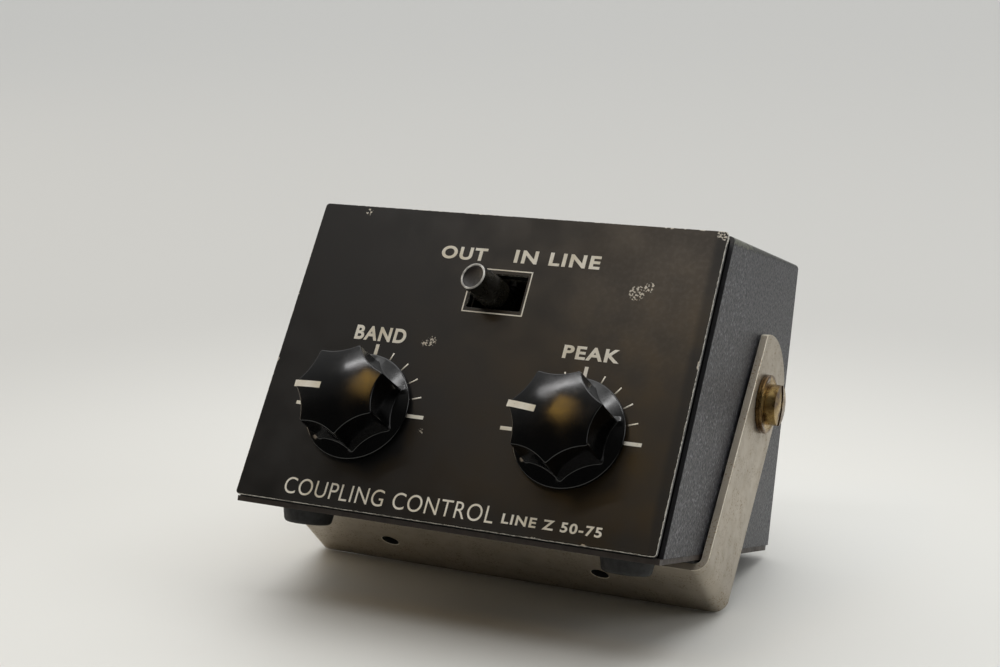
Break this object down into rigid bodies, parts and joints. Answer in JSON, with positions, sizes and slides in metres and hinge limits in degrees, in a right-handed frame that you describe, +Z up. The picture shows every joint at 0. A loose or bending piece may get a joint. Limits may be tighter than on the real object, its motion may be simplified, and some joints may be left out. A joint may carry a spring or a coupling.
{
  "type": "antenna tuner",
  "caption": "Sloping-front desktop antenna tuner with fluted tuning knobs, a bypass lever, rear coaxial sockets and a swinging U bracket.",
  "frame": {"origin": "on the floor, under the middle of the whole part as it stands tipped back on its bracket", "axes": "+X to the right seen from the front, +Y to the back, +Z up"},
  "size_m": [0.1166, 0.1126, 0.0879],
  "materials": {
    "front_plate": "satin black paint over aluminium, bare bright edges",
    "chassis_black": "satin black paint on folded steel",
    "hammer_grey": "grey hammered enamel, worn at the bends",
    "bracket_steel": "dull nickel-plated steel",
    "brass": "tarnished brass",
    "plated_screw": "zinc-plated steel",
    "rubber": "matte black rubber",
    "knob_plastic": "polished black phenolic",
    "lever_plastic": "black moulded plastic",
    "fibre": "black vulcanised fibre",
    "vane_aluminium": "bare aluminium",
    "frame_plated": "nickel-plated steel",
    "ceramic": "white ceramic",
    "phenolic": "brown laminated phenolic",
    "socket_nickel": "nickel-plated brass",
    "copper": "bare copper",
    "wire_red": "red insulated wire",
    "wire_blue": "blue insulated wire",
    "wire_yellow": "yellow insulated wire",
    "wire_green": "green insulated wire",
    "wire_white": "white insulated wire",
    "wire_black": "black insulated wire"
  },
  "bodies": {
    "case": {"front_plate": "front_plate", "chassis": "chassis_black", "base_plate": "hammer_grey", "cover": "hammer_grey", "cover_screws": "plated_screw", "chassis_screws": "plated_screw", "foot_front_left": "rubber", "foot_front_right": "rubber", "foot_rear_left": "rubber", "foot_rear_right": "rubber", "foot_screws": "plated_screw", "foot_nuts": "plated_screw", "pivot_screws": "brass", "pivot_washers": "brass", "spacer_washers": "fibre", "pivot_nuts": "plated_screw", "left_stator": "vane_aluminium", "left_frame": "frame_plated", "left_insulators": "ceramic", "left_bushing_nut": "frame_plated", "right_stator": "vane_aluminium", "right_frame": "frame_plated", "right_insulators": "ceramic", "right_bushing_nut": "frame_plated", "switch_pin": "plated_screw", "switch_frame": "frame_plated", "switch_body": "phenolic", "switch_contacts": "brass", "switch_nuts": "plated_screw", "left_socket": "socket_nickel", "left_socket_insulator": "ceramic", "left_socket_contact": "brass", "right_socket": "socket_nickel", "right_socket_insulator": "ceramic", "right_socket_contact": "brass", "socket_screws": "plated_screw", "socket_nuts": "plated_screw", "ground_lug": "brass", "coil_former": "ceramic", "coil_winding": "copper", "coil_screws": "plated_screw", "left_socket_wire": "wire_red", "right_socket_wire": "wire_blue", "left_stator_wire": "wire_yellow", "right_stator_wire": "wire_green", "left_coil_wire": "wire_white", "right_coil_wire": "wire_white", "ground_wire": "wire_black"},
    "bracket": {"bracket": "bracket_steel"},
    "left_control": {"left_knob": "knob_plastic", "left_set_screw": "plated_screw", "left_shaft": "brass", "left_rotor": "vane_aluminium"},
    "right_control": {"right_knob": "knob_plastic", "right_set_screw": "plated_screw", "right_shaft": "brass", "right_rotor": "vane_aluminium"},
    "lever": {"switch_lever": "lever_plastic"},
    "slider": {"switch_slider": "phenolic"}
  },
  "joints": [
    {"name": "bracket_tilt", "type": "hinge", "parent": "case", "child": "bracket", "pos_m": [0, 0.01279, 0.04367], "axis": [1, 0, 0], "range_deg": [-0.5, 226]},
    {"name": "left_knob_turn", "type": "hinge", "parent": "case", "child": "left_control", "pos_m": [-0.026, -0.03925, 0.04639], "axis": [0, -0.81, 0.5864], "range_deg": [-180, 0]},
    {"name": "right_knob_turn", "type": "hinge", "parent": "case", "child": "right_control", "pos_m": [0.026, -0.03925, 0.04639], "axis": [0, -0.81, 0.5864], "range_deg": [-173, 7]},
    {"name": "lever_tilt", "type": "hinge", "parent": "case", "child": "lever", "pos_m": [0, -0.01447, 0.06783], "axis": [0, 0.5864, 0.81], "range_deg": [0, 24]},
    {"name": "slider_travel", "type": "slide", "parent": "case", "child": "slider", "axis": [1, 0, 0], "range_m": [-0.0024, 0]}
  ],
  "couplings": [
    {"joint": "slider_travel", "follows": "lever_tilt", "m_per_rad": -0.0055}
  ]
}
